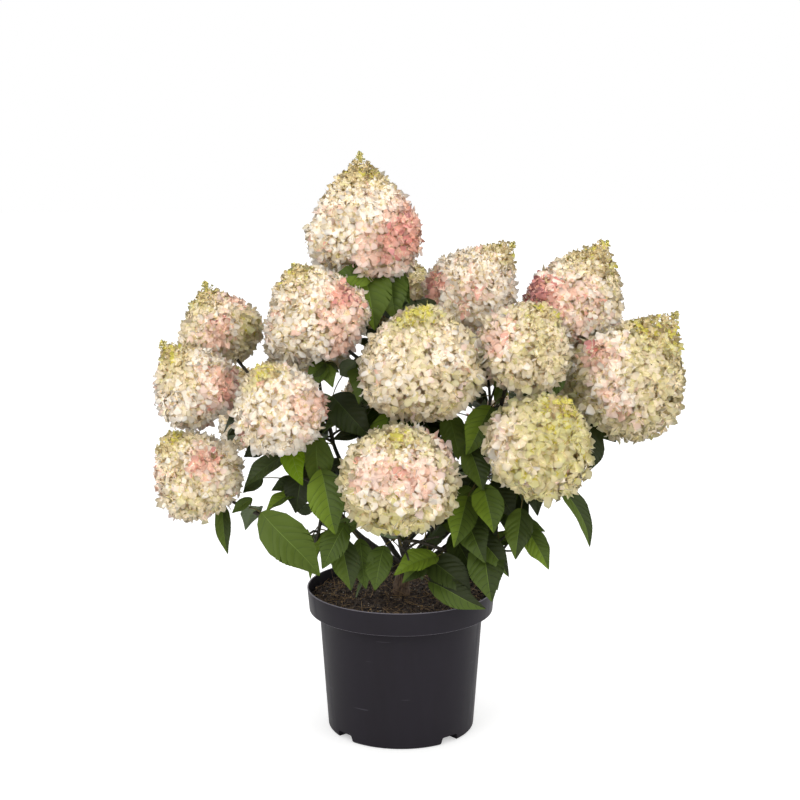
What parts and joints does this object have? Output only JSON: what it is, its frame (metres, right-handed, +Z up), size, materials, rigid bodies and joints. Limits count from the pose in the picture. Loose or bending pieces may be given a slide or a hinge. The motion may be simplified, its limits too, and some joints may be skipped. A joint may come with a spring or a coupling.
{
  "type": "potted hydrangea shrub",
  "caption": "Cone-headed hydrangea shrub in late-summer bloom, standing in a round charcoal plastic container with a proud collar and drain pockets in its foot.",
  "frame": {"origin": "centre of the pot's flat underside, on the surface it stands on", "axes": "+Z up; -Y is the front the shrub is seen from, +X to that viewer's right"},
  "size_m": [0.7049, 0.5286, 0.7865],
  "materials": {
    "pot_plastic": "satin injection-moulded charcoal plastic with faint scuffs",
    "soil": "dark brown moist peat mix with fibres and pale specks",
    "bark": "ribbed brown woody bark, greener and redder towards the tips",
    "foliage": "satin mid-green ovate toothed leaves with sunken veins",
    "petals": "soft matt cream, blush and salmon sepals, lime at the tips of the heads"
  },
  "bodies": {
    "root": {"bloom_back_far_left": "petals", "bloom_back_far_right": "petals", "bloom_back_left": "petals", "bloom_back_low": "petals", "bloom_back_middle": "petals", "bloom_back_right": "petals", "bloom_back_upper": "petals", "bloom_far_right": "petals", "bloom_front_low": "petals", "bloom_left": "petals", "bloom_left_inner": "petals", "bloom_left_low": "petals", "bloom_left_rear": "petals", "bloom_middle": "petals", "bloom_right_high": "petals", "bloom_right_inner": "petals", "bloom_right_low": "petals", "bloom_top": "petals", "bloom_upper_left": "petals", "bloom_upper_right": "petals", "leaves_back": "foliage", "leaves_back_left": "foliage", "leaves_back_right": "foliage", "leaves_front": "foliage", "leaves_left": "foliage", "leaves_left_front": "foliage", "leaves_left_low": "foliage", "leaves_middle": "foliage", "leaves_right": "foliage", "leaves_right_front": "foliage", "leaves_right_low": "foliage", "leaves_top": "foliage", "pot": "pot_plastic", "shoot_back_middle": "bark", "shoot_back_upper": "bark", "shoot_far_right": "bark", "shoot_front_low": "bark", "shoot_left": "bark", "shoot_left_inner": "bark", "shoot_left_low": "bark", "shoot_left_rear": "bark", "shoot_right_high": "bark", "shoot_right_inner": "bark", "shoot_upper_left": "bark", "shoot_upper_right": "bark", "soil": "soil", "stem_back": "bark", "stem_back_left": "bark", "stem_back_right": "bark", "stem_base": "bark", "stem_front": "bark", "stem_left": "bark", "stem_left_front": "bark", "stem_middle": "bark", "stem_right": "bark", "stem_right_front": "bark"}
  },
  "joints": []
}
